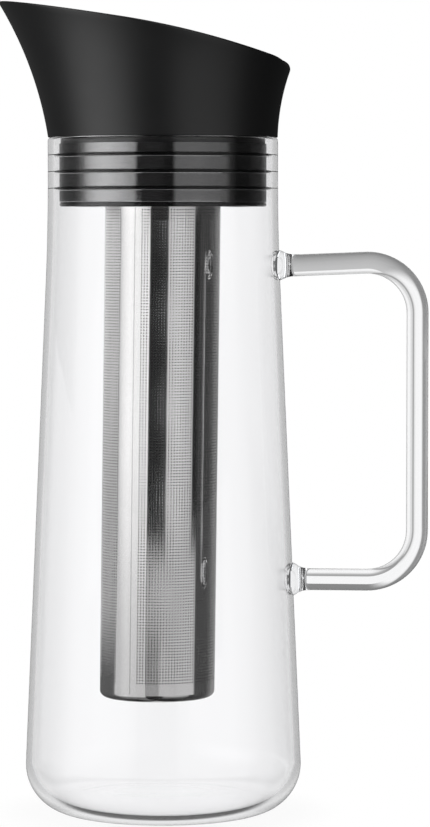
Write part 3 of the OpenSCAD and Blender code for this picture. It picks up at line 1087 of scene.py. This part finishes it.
class CARAFE_OT_seal(bpy.types.Operator):
    """Model the silicone seal with its three pointed lips"""

    bl_idname = "carafe.seal"
    bl_label = "Seal"

    def execute(self, context):
        s = context.scene.carafe_lid
        face = PLUG_HIGH.x
        tip = s.lip_radius
        inside = s.core_radius
        outline = [(inside, SEAL_LOW.z), (face, SEAL_LOW.z), (face, SEAL_LOW.z + SUPPORT)]
        for i in (2, 1, 0):
            z = s.seat_z - s.lip_drop - i * s.lip_pitch
            root = s.lip_root / 2
            outline += [(face, z - root - SUPPORT), (face, z - root), (tip, z - s.lip_tip / 2)]
            outline += [(tip, z + s.lip_tip / 2), (face, z + root), (face, z + root + SUPPORT)]
        outline += [(face, SEAL_HIGH.z), (inside, SEAL_HIGH.z), (inside, SEAL_LOW.z)]
        piece = turn("lip_seal", soften(outline, LIP_ROUND))
        seat(piece, "lip_silicone", "lid", "black_silicone", "seal_sleeve")
        return {"FINISHED"}


class CARAFE_OT_flap(bpy.types.Operator):
    """Model the pouring flap and finish its hinge pin"""

    bl_idname = "carafe.flap"
    bl_label = "Pouring flap"

    def execute(self, context):
        s = context.scene.carafe_lid
        hinge = hinge_place()
        barrel = FLAP_HIGH.z - hinge.z
        half = s.barrel_length / 2
        chord = hinge.x - 2 * barrel
        z = FLAP_LOW.z
        outline = half_disc(-FLAP_LOW.x, chord, z)
        outline += [
            Vector((chord, -half, z)), Vector((hinge.x, -half, z)),
            Vector((hinge.x, half, z)), Vector((chord, half, z)),
        ]
        piece = plate("pouring_flap", outline, Vector((0, 0, s.flap_wall)))
        combine(piece, rod("barrel", barrel, hinge - Vector((0, half, 0)), 2 * half), "UNION")
        bevel_edges(piece, FLAP_ROUND)
        bore = (PIN_HIGH.x - PIN_LOW.x) / 2 + PIN_PLAY
        reach = half + BITE
        combine(piece, rod("bore", bore, hinge - Vector((0, reach, 0)), 2 * reach), "DIFFERENCE")
        seat(piece, "soft_touch_black", "flap", "soft_black", "pour_flap")
        dress(frame["nodes"]["flap_pin"], "bright_steel")
        return {"FINISHED"}


def lean_piece(piece, lean):
    """Leans a hanging piece towards the lip, about the lid's lower end."""
    slope = math.tan(lean)
    for vertex in piece.data.vertices:
        vertex.co.x -= slope * max(0.0, PLUG_LOW.z - vertex.co.z)
    piece.data.update()


class CARAFE_OT_filter(bpy.types.Operator):
    """Model the filter's tube with its seam, and its base, and finish its collar and ring"""

    bl_idname = "carafe.filter"
    bl_label = "Brewing filter"

    def execute(self, context):
        s = context.scene.carafe_filter
        radius = s.radius
        inside = radius - s.sheet
        low = TUBE_LOW.z
        top = TUBE_HIGH.z
        neck = TUBE_HIGH.x
        shoulder = PLUG_LOW.z
        column = FULL_TURN / TURN_STEPS
        outline = [
            (inside, low), (radius, low), (radius, shoulder), (neck, shoulder + SHOULDER), (neck, top),
            (neck - s.sheet, top), (neck - s.sheet, shoulder + SHOULDER), (inside, shoulder), (inside, low),
        ]
        tube = turn("filter_sheet", outline, s.seam - column / 2)

        def on_seam(face):
            """True for the outer faces of the column on the seam's line."""
            bearing = math.atan2(face.center.y, face.center.x)
            outward = math.hypot(face.center.x, face.center.y) > radius - 0.1 * s.sheet
            return outward and abs(bearing - s.seam) < column / 4 and abs(face.normal.z) < 0.5

        pick_faces(tube, on_seam)
        bpy.ops.mesh.inset(thickness=SEAM_MARGIN, depth=-s.seam_depth)
        bpy.ops.object.mode_set(mode="OBJECT")
        lean_piece(tube, s.lean)
        seat(tube, "perforated_steel", "filter", "filter_steel", "filter_tube")

        floor = BASE_LOW.z
        spigot = inside - s.base_spigot
        edge = (radius - s.base_edge, floor + s.base_edge)
        outline = (
            [(0, floor)]
            + arc(edge, s.base_edge, -QUARTER_TURN, 0)
            + [(radius, low), (inside, low), (inside, BASE_HIGH.z), (spigot, BASE_HIGH.z)]
            + [(spigot, low - BASE_DROP), (0, low - BASE_DROP)]
        )
        base = turn("filter_cup", outline)
        lean_piece(base, s.lean)
        seat(base, "bright_steel", "filter", "filter_steel", "filter_base")
        dress(frame["nodes"]["filter_collar"], "gloss_black_plastic")
        dress(frame["nodes"]["filter_oring"], "lip_silicone")
        return {"FINISHED"}


class CARAFE_OT_materials(bpy.types.Operator):
    """Make the glass, the plastics, the silicone and the steels"""

    bl_idname = "carafe.materials"
    bl_label = "Materials"

    def execute(self, context):
        finish = context.scene.carafe_finish
        for make in (clear_glass, soft_touch, gloss_plastic, silicone, bright_steel):
            make(finish)
        perforated_steel(finish, context.scene.carafe_filter)
        return {"FINISHED"}


# Stage

def through_glass(path):
    """One for rays that met nothing but glass, and for those that only passed a rod."""
    bounced = path["Glossy Depth"]
    passed = path["Transmission Depth"]
    unbounced = bounced < NONE_YET
    shallow = passed < ONE_WALL
    caught = (bounced > CAUGHT) * (passed > NONE_YET)
    alone = largest(unbounced, shallow, passed > TWO_WALLS, caught)
    left = largest(path["Is Transmission Ray"], caught)
    through = left * alone * (path["Diffuse Depth"] < NONE_YET)
    return through, through * unbounced * shallow


def backdrop(bearing, rise, rod, path, s):
    """What glass shows behind it: white, with soft flags at the sides and dark stripes in a rod."""
    off = bearing.reckon("PINGPONG", bearing, FLAG_SPACING)
    flags = off.step(*FLAG_EDGE) * (rod * ROD_FLAG + s.flag_depth)
    below = rise.edge(*BELOW, 1.0, 0.0) * ((path["Transmission Depth"] < ONE_WALL) - rod)
    above = rise.window(*ABOVE) * (1.0 - rod * ROD_ABOVE)
    stripes = rise.edge(*ROD_DARK, 1.0, 0.0) * rise.edge(*ROD_FADE) * abs(bearing).edge(*ROD_BACK)
    for stripe in ROD_STRIPES:
        stripes = largest(stripes, bearing.window(*stripe))
    stripes = stripes * rod * (path["Transparent Depth"] > NONE_YET) * s.stripes
    shade = largest(largest(above, below) * (path["Glossy Depth"] < CAUGHT), stripes)
    return (1.0 - flags) * (1.0 - shade * (1.0 - s.under)) * s.backdrop


def glass_room(bearing, rise, light, s):
    """The studio as the filter and the seal show it: dimmer low down, with a table and a white room."""
    filter_side = rise.edge(*FILTER_TOP, 1.0, 0.0)
    dim = rise.edge(*DIM_RISE, DIM_LOW, DIM_HIGH) * (1.0 - filter_side * FILTER_DIM)
    cut = 1.0 - bearing.edge(*FILTER_CUT) * filter_side
    gain = bearing.window(*RIGHT_LIGHT).mix(1.0, filter_side.mix(SEAL_GAIN, FILTER_GAIN))
    light = light * dim * gain * cut
    near = bearing.window(*NEAR_WHITE) * dim * (NEAR_FILL * s.fill)
    left = bearing.edge(*LEFT_WHITE, s.fill, 0.0)
    left = left * rise.edge(*LEFT_LOW, LOW_FILL, 1.0) * rise.edge(*LEFT_FOOT, FOOT_FILL, 1.0)
    right = bearing.edge(*RIGHT_GLOW, 0.0, RIGHT_FILL * s.fill) + bearing.edge(*BACK_GLOW, 0.0, BACK_FILL)
    fill = largest(near, left, right) * filter_side
    smear = rise.window(*SMEAR_RISE) * bearing.window(*SMEAR_SPAN)
    table = rise.window(*TABLE_RISE) * bearing.window(*TABLE_SPAN)
    table = table * (s.table - smear * (SMEAR_DEPTH * s.table))
    level = rise.window(*LEVEL) * (1.0 - FAR_ROOM) + FAR_ROOM
    return largest(light, fill, table) * level


def studio_light(bearing):
    """Share of the main light by the direction round the carafe."""
    ramp = add(bearing.tree, "ShaderNodeValToRGB", {"Fac": bearing * (1 / FULL_TURN) + 0.5})
    stops = ramp.color_ramp.elements
    for degrees, _ in STUDIO[1:-1]:
        stops.new(0.5 + degrees / 360)
    for stop, (_, level) in zip(stops, STUDIO):
        stop.color = (level, level, level, 1)
    return Value(ramp.outputs["Color"])


def studio_world(scene, s):
    """White behind the carafe, a large light on the left, a dimmer one on the right, dark sides."""
    world = bpy.data.worlds.new("studio")
    scene.world = world
    world.use_nodes = True
    tree = world.node_tree
    place = add(tree, "ShaderNodeTexCoord").outputs["Generated"]
    turned = add(tree, "ShaderNodeMapping", {"Vector": place, "Rotation": (0, 0, -s.view_turn)})
    x, y, z = split(turned.outputs[0])
    bearing = x.reckon("ARCTAN2", x, y * -1.0)
    rise = z.reckon("ARCSINE", z)
    path = light_path(tree)
    passing = path["Is Transmission Ray"]
    overhead = rise.edge(*OVERHEAD, s.dark, s.top_light)
    light = rise.window(*UPRIGHT).mix(overhead, studio_light(bearing) * s.light)
    light = passing.mix(light, glass_room(bearing, rise, light, s))
    through, rod = through_glass(path)
    deep = (path["Transmission Depth"] > TWO_WALLS) * DEEP_SHARE
    forward = largest(abs(bearing).edge(*FORWARD), deep, path["Glossy Depth"] < NONE_YET)
    ahead = abs(bearing).edge(*AHEAD) * (path["Diffuse Depth"] < NONE_YET) * passing
    through = largest(through * forward, ahead)
    seen = through.mix(light, backdrop(bearing, rise, rod, path, s))
    strength = path["Is Camera Ray"].mix(seen, 1.0)
    feed(tree.nodes["Background"], {"Color": (1, 1, 1, 1), "Strength": strength})


def pale_floor(s):
    """A pale floor that keeps the carafe's shadow and fades out into the white backdrop."""
    shader, place = new_material("pale_floor")
    feed(shader, {"Base Color": rgba(s.floor), "Roughness": 0.8, "Specular IOR Level": 0.0})
    far = Value(vector_of("LENGTH", place)["Value"])
    fade = far.step(FLOOR_FADE * JUG_HIGH.x, s.floor_radius, FLOOR_CLEAR, 1.0)
    through, rod = through_glass(light_path(shader.id_data))
    let_through(largest(fade, rod, through * FLOOR_UNDER_GLASS), shader)


def grey_card(name, low, high):
    """Grey card that only the glass rod shows, with its brightness at the lower and upper edge."""
    shader, place = new_material(name)
    tree = shader.id_data
    _, rod = through_glass(light_path(tree))
    x, y, _ = split(place)
    shade = largest(y.step(*CARD_UPPER, CARD_MIDDLE, high), y.step(*CARD_LOWER, low, CARD_MIDDLE))
    grey = add(tree, "ShaderNodeEmission", {"Strength": shade})
    let_through(1.0 - rod * x.step(*CARD_END, 1.0, 0.0), grey)


def clear_card(name):
    """Clear card that marks the rays which the handle's rod passes on."""
    shader, _ = new_material(name)
    let_through(1.0, shader)


def stand_card(name, low, high, right, depth):
    """Stands a card behind the handle, from beside the jug to its right edge."""
    middle = ((CARD_LEFT + right) / 2, depth, (low + high) / 2)
    bpy.ops.mesh.primitive_plane_add(size=1, location=middle, rotation=(QUARTER_TURN, 0, 0))
    card = bpy.context.object
    card.name = "card"
    bpy.ops.transform.resize(value=(right - CARD_LEFT, 1, high - low))
    dress(card, name)


class CARAFE_OT_stage(bpy.types.Operator):
    """Set up the floor, the studio light and the camera"""

    bl_idname = "carafe.stage"
    bl_label = "Stage"

    def execute(self, context):
        scene = context.scene
        s = scene.carafe_stage
        scene.view_settings.view_transform = "Standard"
        camera = bpy.data.cameras.new("camera")
        camera.lens = s.lens
        camera.clip_end = VIEW_END
        eye = bpy.data.objects.new("camera", camera)
        scene.collection.objects.link(eye)
        out = s.view_distance
        eye.location = (out * math.sin(s.view_turn), -out * math.cos(s.view_turn), s.view_height)
        eye.rotation_euler = (s.view_tilt, 0, s.view_swing)
        scene.camera = eye
        studio_world(scene, s)
        select_only(None)
        bpy.ops.mesh.primitive_circle_add(
            vertices=FLOOR_SIDES, radius=s.floor_radius, fill_type="NGON", location=(0, 0, -FLOOR_GAP)
        )
        floor = context.object
        floor.name = "floor"
        pale_floor(s)
        dress(floor, "pale_floor")
        grey_card("low_card", s.low_card, CARD_INNER)
        grey_card("high_card", CARD_INNER, s.high_card)
        clear_card("clear_card")
        for name, place in CARDS.items():
            stand_card(name, *place)
        return {"FINISHED"}


class CARAFE_PT_panel(bpy.types.Panel):
    """Sizes, colours and pieces of the carafe"""

    bl_idname = "CARAFE_PT_panel"
    bl_label = "Cold brew carafe"
    bl_space_type = "VIEW_3D"
    bl_region_type = "UI"
    bl_category = "Carafe"

    def draw(self, context):
        for maker in MAKERS:
            self.layout.operator(maker.bl_idname)
        for name, group in GROUPS.items():
            box = self.layout.box()
            box.label(text=group.__doc__)
            for field in group.__annotations__:
                box.prop(getattr(context.scene, name), field)


MAKERS = (
    CARAFE_OT_stage,
    CARAFE_OT_materials,
    CARAFE_OT_glass,
    CARAFE_OT_collar,
    CARAFE_OT_plug,
    CARAFE_OT_seal,
    CARAFE_OT_flap,
    CARAFE_OT_filter,
)


def register():
    for group in GROUPS.values():
        bpy.utils.register_class(group)
    for name, group in GROUPS.items():
        setattr(bpy.types.Scene, name, PointerProperty(type=group))
    for maker in MAKERS:
        bpy.utils.register_class(maker)
    bpy.utils.register_class(CARAFE_PT_panel)


def unregister():
    bpy.utils.unregister_class(CARAFE_PT_panel)
    for maker in reversed(MAKERS):
        bpy.utils.unregister_class(maker)
    for name in GROUPS:
        delattr(bpy.types.Scene, name)
    for group in GROUPS.values():
        bpy.utils.unregister_class(group)


def main():
    register()
    bpy.ops.carafe.stage()
    bpy.ops.carafe.materials()
    bpy.ops.carafe.glass()
    bpy.ops.carafe.collar()
    bpy.ops.carafe.plug()
    bpy.ops.carafe.seal()
    bpy.ops.carafe.flap()
    bpy.ops.carafe.filter()


if __name__ == "__main__":
    main()
